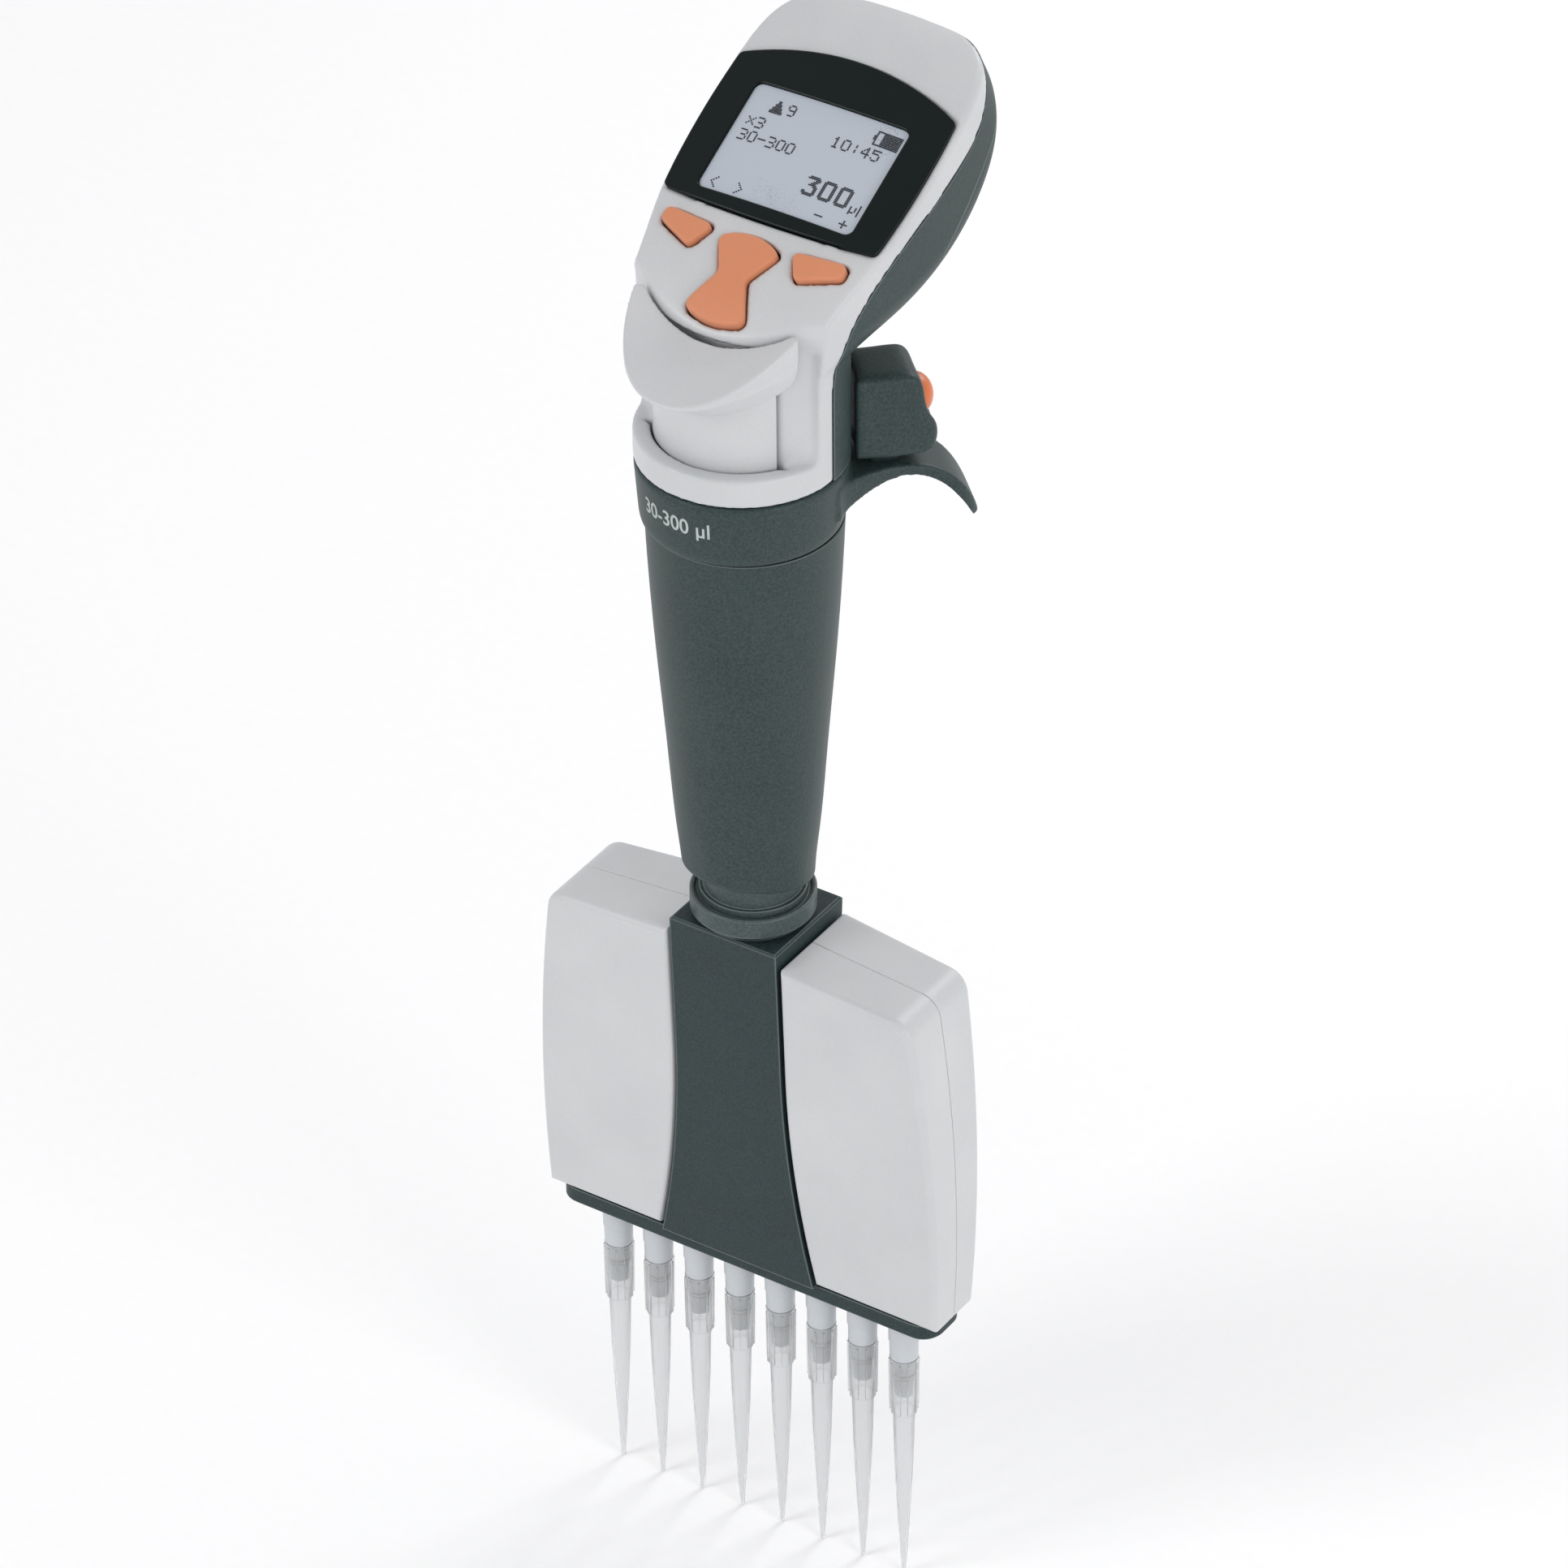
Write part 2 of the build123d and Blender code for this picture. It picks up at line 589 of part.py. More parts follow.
def neck_ring():
    profile = [(7.9, BLOCK_TOP_Z), (9.9, BLOCK_TOP_Z), (9.9, 142.2), (FLANGE_R, 142.2),
               (FLANGE_R, 145.6), (11.15, 145.9), (10.6, 145.9), (10.4, 145.3), (9.9, 145.3),
               (9.7, 146.8), (NECK_R, 146.8), (NECK_R, 157.8), (7.9, 157.8)]
    return lathe(profile, y=SWIVEL_Y)


def nozzle_plate():
    plate = slab(-37.0, 37.0, -4.6, 4.6, 67.6, 71.0)
    for x in channel_positions():
        plate -= rod(2.6, 60, 80, x=x)
    for x, y in EJECTOR_RODS:
        plate -= rod(1.4, 60, 80, x=x, y=y)
    return plate


def nozzle_cone():
    return lathe([(0.8, 43.0), (1.75, 43.0), (1.98, 46.9), (1.66, 46.9), (1.66, 48.1), (2.02, 48.1),
                  (2.1, 51.7), (2.66, 51.7), (2.72, 55.4), (2.9, 55.6), (2.95, 60.6), (2.55, 61.2),
                  (2.55, 71.4), (2.7, 71.8), (2.7, 74.0), (0.8, 74.0)])


def cylinder_tube():
    top = 83.0 + PISTON_STROKE
    return lathe([(2.75, 71.1), (3.8, 71.1), (3.8, top), (BORE_R, top), (BORE_R, 74.2), (2.75, 74.2)])


def piston():
    return lathe([(0, 74.6), (2.7, 74.6), (2.7, 76.2), (2.3, 76.2), (2.3, 77.2), (2.7, 77.2), (2.7, 78.6),
                  (1.5, 79.2), (1.5, PISTON_PLATE_Z[0]), (0, PISTON_PLATE_Z[0])])


def seal(radius, height, section):
    return Pos(0, 0, height) * Torus(radius, section)


def tip():
    outer = [(0.25, 0), (0.43, 0), (1.35, TIP_TAPER_Z), (2.08, TIP_COLLAR_Z),
             (2.45, TIP_COLLAR_Z + 0.3), (2.62, TIP_RIM_Z - 0.3), (2.7, TIP_RIM_Z)]
    inner = [(2.37, TIP_RIM_Z), (2.12, 43.0), (2.0, 40.0), (1.75, 38.0), (1.0, TIP_TAPER_Z),
             (0.25, 1.0)]
    body = lathe(outer + inner)
    rib = slab(2.3, 2.85, -0.14, 0.14, TIP_COLLAR_Z + 0.6, TIP_RIM_Z - 2.4)
    for i in range(TIP_RIB_COUNT):
        body += Rot(0, 0, 360 / TIP_RIB_COUNT * i) * rib
    return body


EJECTOR_RODS = ((-9.0, 3.9), (9.0, -3.9))


def ejector_crosshead():
    head = tube(7.4, 5.0, 134.0, 147.7, y=SWIVEL_Y)
    arm = Rot(0, 0, -23.4) * slab(-11.5, 11.5, -2.2, 2.2, 131.4, 134.4)
    arm += rod(7.4, 131.4, 134.4, y=SWIVEL_Y)
    return head + (arm - rod(5.0, 120, 140, y=SWIVEL_Y))


def ejector_bar():
    bar = Pos(0, 0, BAR_Z[0]) * extrude(RectangleRounded(2 * BAR_HALF[0], 2 * BAR_HALF[1], 4.2),
                                         amount=BAR_Z[1] - BAR_Z[0])
    bar = chamfer(bar.faces().sort_by(Axis.Z)[0].edges(), 0.5)
    for x in channel_positions():
        bar -= rod(3.25, 50, 80, x=x)
    return bar


def piston_plate():
    plate = slab(-35.0, 35.0, -2.4, 2.4, *PISTON_PLATE_Z)
    return plate + rod(1.2, PISTON_PLATE_Z[1], 108.5, y=SWIVEL_Y)


# ---- all nodes -------------------------------------------------------------


def build_nodes():
    front, rear, door = front_and_rear_housing()
    nodes = {
        "front_housing": front,
        "rear_housing": rear,
        "battery_cover": door,
        "charging_socket": charging_socket(),
        "chassis_tube": chassis_tube(),
        "thumb_button": thumb_button(),
        "thumb_stem": thumb_stem(),
        "ejector_rod": rod(1.0, YOKE_Z[1], STEM_BOTTOM_Z, y=EJECTOR_ROD_Y),
        "ejector_yoke": ejector_yoke(),
        "ejector_spring": coil(8.55, 0.8, 173.6, YOKE_Z[0] - 0.1, 4, y=SWIVEL_Y),
        "spring_seat": spring_seat(),
        "handle_sleeve": handle_sleeve(),
        "finger_support": finger_support(),
        "trigger_box": trigger_box(),
        "trigger_button": trigger_button(),
        "trigger_spring": trigger_spring(),
        "motor": motor(),
        "motor_mount": motor_mount(),
        "lead_screw": rod(2.0, 162.0, 198.5, y=SWIVEL_Y),
        "drive_nut": tube(4.5, 2.1, 172.0, 177.0, y=SWIVEL_Y),
        "push_rod": push_rod() - rod(1.5, 100, 109.2, y=SWIVEL_Y),
        "neck_ring": neck_ring(),
        "centre_frame": centre_frame(),
        "nozzle_plate": nozzle_plate(),
        "nozzle_cones": each_channel(nozzle_cone()),
        "cylinders": each_channel(cylinder_tube()),
        "cone_seals": each_channel(seal(1.95, 47.5, 0.28)),
        "pistons": each_channel(piston()),
        "piston_seals": each_channel(seal(2.55, 76.7, 0.24)),
        "piston_plate": piston_plate(),
        "ejector_crosshead": ejector_crosshead(),
        "ejector_rods": group([rod(1.0, BAR_Z[1], 131.4, x=x, y=y) for x, y in EJECTOR_RODS]),
        "ejector_bar": ejector_bar(),
        "tips": each_channel(tip()),
    }
    nodes.update(display())
    nodes.update(keys())
    nodes.update(covers())
    return nodes


os.makedirs("parts", exist_ok=True)
for name, part in build_nodes().items():
    export_step(part, f"parts/{name}.step")
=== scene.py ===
import json
import math

import bpy
from mathutils import Matrix, Vector

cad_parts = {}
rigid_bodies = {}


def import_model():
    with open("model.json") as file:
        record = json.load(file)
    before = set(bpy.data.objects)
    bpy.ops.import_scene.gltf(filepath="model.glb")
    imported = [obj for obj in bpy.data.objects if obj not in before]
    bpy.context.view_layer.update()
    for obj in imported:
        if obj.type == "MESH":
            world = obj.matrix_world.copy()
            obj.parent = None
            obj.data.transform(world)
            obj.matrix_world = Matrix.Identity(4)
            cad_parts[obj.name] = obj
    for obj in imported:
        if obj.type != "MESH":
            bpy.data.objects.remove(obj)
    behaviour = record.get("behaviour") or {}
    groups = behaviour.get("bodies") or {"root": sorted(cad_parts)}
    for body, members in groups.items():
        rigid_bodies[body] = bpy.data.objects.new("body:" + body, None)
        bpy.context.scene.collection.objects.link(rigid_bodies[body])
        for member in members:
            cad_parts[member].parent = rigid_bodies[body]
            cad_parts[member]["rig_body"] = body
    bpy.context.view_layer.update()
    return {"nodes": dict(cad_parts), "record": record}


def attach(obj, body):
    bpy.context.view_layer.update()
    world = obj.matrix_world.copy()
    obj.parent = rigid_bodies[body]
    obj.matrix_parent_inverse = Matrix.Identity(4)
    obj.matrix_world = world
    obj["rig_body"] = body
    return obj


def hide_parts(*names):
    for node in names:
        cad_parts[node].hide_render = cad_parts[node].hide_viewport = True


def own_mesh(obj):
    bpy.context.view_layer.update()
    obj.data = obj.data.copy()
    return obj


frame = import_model()

MM = 0.001
WELD = 0.001 * MM  # points closer than this are one

# The head's face slopes; the display, the keys and the head's edges are placed on it.
FACE_CENTRE = Vector((0, 16.85, 287.9)) * MM
FACE_TILT = math.radians(29)
FACE_CROWN = 1.2 * MM
FACE_HALF = 21.9 * MM
UPPER_AXIS_Y = -2.8 * MM  # axis of the collar, the turning band and the thumb button

# The display is a dot matrix behind a clear pane.
DOT = 0.326 * MM
DOT_COLUMNS = 94
DOT_ROWS = 66
DOT_GAP = 0.035 * MM
TILE_LIFT = 0.04 * MM
TILE_THICKNESS = 0.05 * MM

# Raised print on the turning band.
PRINT_TEXT = "30-300 \u00b5l"
PRINT_SIZE = 4.34 * MM  # of the type; its figures stand about 3.1 mm tall
PRINT_STROKE = 0.05 * MM  # added to the width of the type's strokes
PRINT_RISE = 0.04 * MM
PRINT_START = math.radians(-30)
PRINT_WIDTH = 14.6 * MM
PRINT_Z = 232.5 * MM
BAND_RADIUS = 18.25 * MM
BAND_FLARE = 0.073  # how much the band widens towards its top

# Voxel skin and smoothing passes that give a moulding its rounded edges.
MOULDED_SKINS = {
    "thumb_button": (0.3 * MM, 4),
    "thumb_stem": (0.3 * MM, 1),
    "front_housing": (0.4 * MM, 3),
    "left_key": (0.22 * MM, 10),
    "right_key": (0.22 * MM, 10),
    "rocker_key": (0.22 * MM, 10),
    "finger_support": (0.35 * MM, 6),
    "trigger_box": (0.3 * MM, 8),
    "trigger_button": (0.25 * MM, 4),
}
CHIN_FRONT = -9.5 * MM  # the chin lies in front of this
CHIN_SPREAD = 0.2  # how far that line falls back for each step aside
CHIN_LOW = 262 * MM
CHIN_PASSES = 2
BOX_CROWN_LOW = 250.5 * MM
BOX_CROWN_PASSES = 60

# Tips, with radii and heights in millimetres: up the outside and down the bore.
CHANNELS = 8
PITCH = 9 * MM
TIP_AROUND = 40
TIP_COLLAR = (39.5 * MM, 50.8 * MM)
TIP_OUTSIDE = 2.4 * MM  # the collar's outer faces lie beyond this radius, its bore within
TIP_RIB_EVERY = 4  # of the faces round the collar
TIP_RIB_EDGE = 0.06 * MM
TIP_RIB_HEIGHT = 0.3 * MM
TIP_TURN = 0.7  # each tip is pushed on turned a little further than the last
SMOOTH_UNDER = math.radians(28)
TIP_PROFILE = (
    (0.25, 0), (0.42, 0), (0.45, 0.4), (1.35, 17), (1.8, 27.5), (2.08, 38.6), (2.46, 38.7),
    (2.47, 39.1), (2.6, 50.9), (2.7, 51.0), (2.72, 51.5), (2.4, 51.5), (2.12, 43), (2, 40),
    (1.75, 38), (1.0, 17), (0.25, 1), (0.25, 0),
)

# ---- materials -------------------------------------------------------------

# Sockets of a Mix node that blends colours.
MIX_FACTOR = 0
MIX_A = 6
MIX_B = 7
MIXED = 2


def paint(hex_colour):
    """Linear colour of an sRGB hex value."""
    channels = [int(hex_colour[i:i + 2], 16) / 255 for i in (1, 3, 5)]
    linear = [c / 12.92 if c <= 0.04045 else ((c + 0.055) / 1.055) ** 2.4 for c in channels]
    return (*linear, 1.0)


def add(material, kind, values=None, links=None, **settings):
    """Adds one shader node with its settings, input values and incoming links; an input goes by
    its name, or by its number where several share a name."""
    node = material.node_tree.nodes.new(kind)
    for name, value in settings.items():
        setattr(node, name, value)
    for name, value in (values or {}).items():
        node.inputs[name].default_value = value
    for name, source in (links or {}).items():
        material.node_tree.links.new(source, node.inputs[name])
    return node


def new_material(name, surface_values):
    """Empty material with one surface shader, which is returned with it."""
    material = bpy.data.materials.new(name)
    material.use_nodes = True
    material.node_tree.nodes.clear()
    surface = add(material, "ShaderNodeBsdfPrincipled", surface_values)
    add(material, "ShaderNodeOutputMaterial", links={"Surface": surface.outputs["BSDF"]})
    return material, surface


def moulded(name, colours, roughness, grain, relief, edge, surface_values, speckle=0.15, edge_highlight=None):
    """Moulded plastic: an eroded grain of the given width and depth, a slow drift and a fine
    speckle between two tones, a wandering roughness, and moulded edges of the given radius onto
    which a painted highlight is mixed, lightening them towards the edge highlight colour."""
    material, surface = new_material(name, surface_values)
    place = add(material, "ShaderNodeTexCoord").outputs["Object"]
    drift = add(material, "ShaderNodeTexNoise", {"Scale": 1 / (18 * MM), "Detail": 2.0},
                {"Vector": place})
    pits = add(material, "ShaderNodeTexNoise", {"Scale": 1 / grain, "Detail": 3.0}, {"Vector": place})
    spots = add(material, "ShaderNodeMapRange", {"From Min": 0.35, "From Max": 0.65},
                {"Value": pits.outputs["Fac"]})
    tone = add(material, "ShaderNodeMix", {"Factor": speckle},
               {"A": drift.outputs["Fac"], "B": spots.outputs["Result"]})
    colour = add(material, "ShaderNodeMix", {MIX_A: paint(colours[0]), MIX_B: paint(colours[1])},
                 {MIX_FACTOR: tone.outputs["Result"]}, data_type="RGBA")
    sheen = add(material, "ShaderNodeMapRange", {"To Min": roughness[0], "To Max": roughness[1]},
                {"Value": pits.outputs["Fac"]})
    rounded = add(material, "ShaderNodeBevel", {"Radius": edge}, samples=8)
    flat = add(material, "ShaderNodeNewGeometry")
    turn = add(material, "ShaderNodeVectorMath",
               links={0: rounded.outputs["Normal"], 1: flat.outputs["Normal"]},
               operation="DOT_PRODUCT")
    # Painted highlight: at the edges, where the rounded normal turns away from the flat one, the colour
    # is mixed towards a lighter one.
    painted_highlight = add(material, "ShaderNodeMapRange", {"From Min": 0.995, "From Max": 0.9, "To Max": 0.55},
               {"Value": turn.outputs["Value"]})
    highlighted = add(material, "ShaderNodeMix", {MIX_B: paint(edge_highlight or colours[1])},
                {MIX_FACTOR: painted_highlight.outputs["Result"], MIX_A: colour.outputs[MIXED]},
                data_type="RGBA")
    bump = add(material, "ShaderNodeBump", {"Strength": 0.6, "Distance": relief},
               {"Height": pits.outputs["Fac"], "Normal": rounded.outputs["Normal"]})
    link = material.node_tree.links.new
    link(highlighted.outputs[MIXED], surface.inputs["Base Color"])
    link(sheen.outputs["Result"], surface.inputs["Roughness"])
    link(bump.outputs["Normal"], surface.inputs["Normal"])
    return material


def white_abs():
    """ABS from a finely eroded mould: warm grey-white, satin, with soft wide highlights."""
    # The last colour is a painted highlight on the edges.
    return moulded("white_abs_moulded", ("#BFC1C3", "#D0D1D2"), (0.34, 0.44), 0.5 * MM, 0.006 * MM,
                   0.5 * MM, {"IOR": 1.53, "Subsurface Weight": 0.06, "Subsurface Scale": 0.8 * MM},
                   edge_highlight="#ECECEC")


def grey_abs():
    """ABS in grey-green from a coarser mould: a matt grain with a dull, broad sheen."""
    # The last colour is a painted highlight on the edges.
    return moulded("grey_abs_grained", ("#1E2D30", "#3A4946"), (0.38, 0.56), 0.5 * MM, 0.04 * MM,
                   0.5 * MM, {"IOR": 1.53, "Specular IOR Level": 0.3}, speckle=0.6, edge_highlight="#8B9694")


def grey_neck():
    """Polyoxymethylene of the swivel: smooth, a little waxy, the same grey-green."""
    # The last colour is a painted highlight on the edges.
    return moulded("pom_neck_turned", ("#2F3D3F", "#4C5957"), (0.32, 0.45), 0.5 * MM, 0.02 * MM,
                   0.4 * MM, {"IOR": 1.48, "Specular IOR Level": 0.4}, speckle=0.5, edge_highlight="#8B9694")


def dark_frame():
    """Glass-filled polyamide: nearly black green, with fibre speckle and a painted highlight that
    lightens its edges.
    """
    # The last colour is a painted highlight on the edges.
    return moulded("polyamide_glass_filled", ("#172629", "#304040"), (0.4, 0.6), 0.45 * MM,
                   0.04 * MM, 0.5 * MM, {"IOR": 1.53, "Specular IOR Level": 0.3}, speckle=0.6,
                   edge_highlight="#8E9996")


def black_lens():
    """Back-printed acrylic: deep black-green under a polished clear face."""
    return moulded("acrylic_back_printed", ("#030D0D", "#071413"), (0.05, 0.09), 3 * MM, 0.001 * MM,
                   0.45 * MM, {"IOR": 1.49, "Specular IOR Level": 0.22})


def orange_key():
    """Silicone keytop with a soft-touch lacquer: matt salmon orange with a faint velvet edge."""
    return moulded("silicone_keytop", ("#CF825A", "#DA8F69"), (0.5, 0.6), 0.35 * MM, 0.006 * MM,
                   0.3 * MM, {"IOR": 1.43, "Sheen Weight": 0.12, "Subsurface Weight": 0.1,
                              "Subsurface Scale": 0.8 * MM})


def orange_trigger():
    """ABS keytop, deep orange and a little glossier than the silicone keys."""
    return moulded("abs_trigger_orange", ("#CE6A38", "#DA7A48"), (0.32, 0.42), 0.5 * MM, 0.005 * MM,
                   0.3 * MM, {"IOR": 1.53})


def cone_plastic():
    """Polyvinylidene fluoride of the tip cones: cool light grey, slightly see-through, satin."""
    return moulded("pvdf_cone", ("#BEC2C6", "#CACED1"), (0.28, 0.38), 0.7 * MM, 0.004 * MM, 0.2 * MM,
                   {"IOR": 1.42, "Subsurface Weight": 0.2, "Subsurface Scale": 1.0 * MM})


def cone_silicone():
    """Clear silicone rubber of the rings on the tip cones: milky, soft and dull."""
    return moulded("silicone_clear", ("#C2C4C4", "#CCCECE"), (0.5, 0.6), 0.3 * MM, 0.004 * MM,
                   0.1 * MM, {"IOR": 1.42, "Subsurface Weight": 0.3, "Subsurface Scale": 0.8 * MM})


def engineering_plastic():
    """Polyoxymethylene machined for sliding pieces: plain white, faintly waxy."""
    return moulded("pom_machined", ("#C9CBC8", "#D4D5D2"), (0.38, 0.5), 0.6 * MM, 0.01 * MM,
                   0.2 * MM, {"IOR": 1.48})


def keypad_rubber():
    """Silicone rubber mat: grey, soft and dull."""
    return moulded("silicone_rubber_mat", ("#77797A", "#828485"), (0.6, 0.75), 0.5 * MM, 0.01 * MM,
                   0.2 * MM, {"IOR": 1.42})


def seal_rubber():
    """Fluoroelastomer rings: black-brown, slightly greased."""
    return moulded("fkm_seal", ("#171513", "#211E1B"), (0.3, 0.45), 0.3 * MM, 0.006 * MM, 0.1 * MM,
                   {"IOR": 1.4})


def circuit():
    """Epoxy glass board: green solder lacquer over a woven cloth that just shows."""
    return moulded("fr4_lacquered", ("#1F5A3B", "#2A6B47"), (0.25, 0.4), 0.5 * MM, 0.01 * MM,
                   0.1 * MM, {"IOR": 1.55})


def battery_foil():
    """Shrink film round a battery pack: blue polyolefin, softly creased."""
    return moulded("shrink_film", ("#274A78", "#315789"), (0.22, 0.34), 1.6 * MM, 0.06 * MM,
                   0.3 * MM, {"IOR": 1.5})


def metal(name, colours, roughness, streak):
    """Turned or drawn metal: fine rings about the upright axis break up its reflections."""
    material, surface = new_material(name, {"Metallic": 1.0})
    place = add(material, "ShaderNodeTexCoord").outputs["Object"]
    rings = add(material, "ShaderNodeMapping", {"Scale": (0.04, 0.04, 1.0)}, {"Vector": place})
    lines = add(material, "ShaderNodeTexNoise", {"Scale": 1 / streak, "Detail": 2.0},
                {"Vector": rings.outputs["Vector"]})
    colour = add(material, "ShaderNodeMix", {MIX_A: paint(colours[0]), MIX_B: paint(colours[1])},
                 {MIX_FACTOR: lines.outputs["Fac"]}, data_type="RGBA")
    sheen = add(material, "ShaderNodeMapRange", {"To Min": roughness[0], "To Max": roughness[1]},
                {"Value": lines.outputs["Fac"]})
    bump = add(material, "ShaderNodeBump", {"Strength": 0.4, "Distance": 0.004 * MM},
               {"Height": lines.outputs["Fac"]})
    link = material.node_tree.links.new
    link(colour.outputs[MIXED], surface.inputs["Base Color"])
    link(sheen.outputs["Result"], surface.inputs["Roughness"])
    link(bump.outputs["Normal"], surface.inputs["Normal"])
    return material


def steel():
    """Stainless steel bar stock, turned: neutral grey with faint tool rings."""
    return metal("stainless_turned", ("#A9ABAD", "#BDBFC1"), (0.2, 0.32), 0.15 * MM)


def spring_steel():
    """Drawn spring wire: darker and a little smoother than the bar stock."""
    return metal("spring_wire_drawn", ("#8C8F92", "#9DA0A3"), (0.18, 0.28), 0.12 * MM)


def brass():
    """Free-cutting brass of the drive nut: yellow, bright from the tool."""
    return metal("brass_turned", ("#C9A24C", "#D6B263"), (0.18, 0.28), 0.15 * MM)


def frame_aluminium():
    """Extruded and turned aluminium: pale, with drawn lines."""
    return metal("aluminium_drawn", ("#BFC2C4", "#CCCED0"), (0.26, 0.38), 0.2 * MM)


def motor_case():
    """Zinc-plated motor can: cool grey with a slight passivation haze."""
    return metal("zinc_plated_can", ("#9A9D9C", "#ACAFAB"), (0.28, 0.42), 0.3 * MM)


def socket_metal():
    """Nickel-plated contact sleeve: warm bright grey."""
    return metal("nickel_plated", ("#B6B2A8", "#C6C2B8"), (0.16, 0.26), 0.2 * MM)


def lcd():
    """Reflective liquid crystal: a silver-blue mirror foil with a fine random sparkle, under a
    clear polariser that gives the sharp reflection."""
    material, surface = new_material("lcd_reflective_foil", {"Roughness": 0.42, "IOR": 1.5,
                                                             "Coat Weight": 0.7, "Coat Roughness": 0.06})
    place = add(material, "ShaderNodeTexCoord").outputs["Object"]
    sparkle = add(material, "ShaderNodeTexNoise", {"Scale": 1 / (0.3 * MM), "Detail": 3.0},
                  {"Vector": place})
    glow = add(material, "ShaderNodeTexNoise", {"Scale": 1 / (16 * MM), "Detail": 1.0}, {"Vector": place})
    both = add(material, "ShaderNodeMath", {}, {0: sparkle.outputs["Fac"], 1: glow.outputs["Fac"]},
               operation="ADD")
    shine = add(material, "ShaderNodeMapRange", {"From Min": 0.6, "From Max": 0.78},
                {"Value": both.outputs["Value"]})
    colour = add(material, "ShaderNodeMix", {MIX_A: paint("#929BA7"), MIX_B: paint("#B4BCC6")},
                 {MIX_FACTOR: shine.outputs["Result"]}, data_type="RGBA")
    material.node_tree.links.new(colour.outputs[MIXED], surface.inputs["Base Color"])
    return material


def lcd_ink():
    """Switched liquid crystal dots: blue-black, matt behind the pane."""
    return moulded("lcd_dots", ("#14171F", "#1B1F29"), (0.5, 0.6), 0.4 * MM, 0.001 * MM, 0.02 * MM,
                   {"IOR": 1.5})


def band_print():
    """Pad-printed ink: light grey-green, dull, a little uneven in cover."""
    return moulded("pad_print_ink", ("#AEB9B6", "#BCC6C3"), (0.5, 0.65), 0.3 * MM, 0.008 * MM,
                   0.02 * MM, {"IOR": 1.5})


def tip_polypropylene():
    """Natural polypropylene, thin-walled: milky, lets light through and blurs it, with a satin
    outer face from the polished mould."""
    material, surface = new_material("polypropylene_natural", {
        "Base Color": paint("#FAFBFC"), "IOR": 1.49, "Transmission Weight": 0.8})
    place = add(material, "ShaderNodeTexCoord").outputs["Object"]
    haze = add(material, "ShaderNodeTexNoise", {"Scale": 1 / (2.5 * MM), "Detail": 2.0},
               {"Vector": place})
    sheen = add(material, "ShaderNodeMapRange", {"To Min": 0.1, "To Max": 0.2},
                {"Value": haze.outputs["Fac"]})
    bump = add(material, "ShaderNodeBump", {"Strength": 0.2, "Distance": 0.01 * MM},
               {"Height": haze.outputs["Fac"]})
    link = material.node_tree.links.new
    link(sheen.outputs["Result"], surface.inputs["Roughness"])
    link(bump.outputs["Normal"], surface.inputs["Normal"])
    return material


FINISHES = {
    "white_abs": white_abs(),
    "grey_abs": grey_abs(),
    "grey_neck": grey_neck(),
    "black_lens": black_lens(),
    "lcd": lcd(),
    "orange_key": orange_key(),
    "orange_trigger": orange_trigger(),
    "circuit": circuit(),
    "keypad_rubber": keypad_rubber(),
    "battery_foil": battery_foil(),
    "socket_metal": socket_metal(),
    "motor_case": motor_case(),
    "steel": steel(),
    "brass": brass(),
    "spring_steel": spring_steel(),
    "frame_aluminium": frame_aluminium(),
    "engineering_plastic": engineering_plastic(),
    "cone_plastic": cone_plastic(),
    "seal_rubber": seal_rubber(),
    "tip_polypropylene": tip_polypropylene(),
}
FRAME_FINISH = dark_frame()
CONE_SEAL_FINISH = cone_silicone()
SLOT_OF = {part["node"]: part["material_slot"] for part in frame["record"]["subparts"]}


def finish_node(node):
    """The finish of a frame node; the frame between the covers is darker than the shells."""
    if node in ("centre_frame", "ejector_bar"):
        return FRAME_FINISH
    if node == "cone_seals":
        return CONE_SEAL_FINISH
    return FINISHES[SLOT_OF[node]]


def give(piece, material):
    """Makes this the piece's only material."""
    piece.data.materials.clear()
    piece.data.materials.append(material)


for node_name, node in frame["nodes"].items():
    give(node, finish_node(node_name))


# ---- shaping helpers -------------------------------------------------------


def select_only(piece):
    bpy.ops.object.select_all(action="DESELECT")
    piece.select_set(True)
    bpy.context.view_layer.objects.active = piece


def apply_modifier(piece, kind, **settings):
    select_only(piece)
    modifier = piece.modifiers.new(kind.lower(), kind)
    for name, value in settings.items():
        setattr(modifier, name, value)
    bpy.ops.object.modifier_apply(modifier=modifier.name)


def choose_faces(piece, test):
    """Goes into edit mode with only the faces that pass the test selected."""
    select_only(piece)
    bpy.ops.object.mode_set(mode="EDIT")
    bpy.ops.mesh.select_mode(type="FACE")
    bpy.ops.mesh.select_all(action="DESELECT")
    bpy.ops.object.mode_set(mode="OBJECT")
    for face in piece.data.polygons:
        face.select = test(face)
    bpy.ops.object.mode_set(mode="EDIT")


def relax(piece, passes, where=lambda place: True):
    """Softens the shape where a point's place passes the test."""
    select_only(piece)
    for vertex in piece.data.vertices:
        vertex.select = where(vertex.co)
    bpy.ops.object.mode_set(mode="EDIT")
    bpy.ops.mesh.select_mode(type="VERT")
    bpy.ops.mesh.vertices_smooth(factor=0.5, repeat=passes)
    bpy.ops.object.mode_set(mode="OBJECT")


def stand_in(node, name):
    """A welded copy of a frame node, to be reshaped, that takes the node's place."""
    select_only(frame["nodes"][node])
    bpy.ops.object.duplicate()
    piece = bpy.context.view_layer.objects.active
    piece.name = name
    for key in list(piece.keys()):
        del piece[key]
    piece.parent = None
    bpy.ops.object.mode_set(mode="EDIT")
    bpy.ops.mesh.select_all(action="SELECT")
    bpy.ops.mesh.remove_doubles(threshold=WELD)
    bpy.ops.object.mode_set(mode="OBJECT")
    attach(piece, frame["nodes"][node]["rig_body"])
    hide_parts(node)
    give(piece, finish_node(node))
    return piece


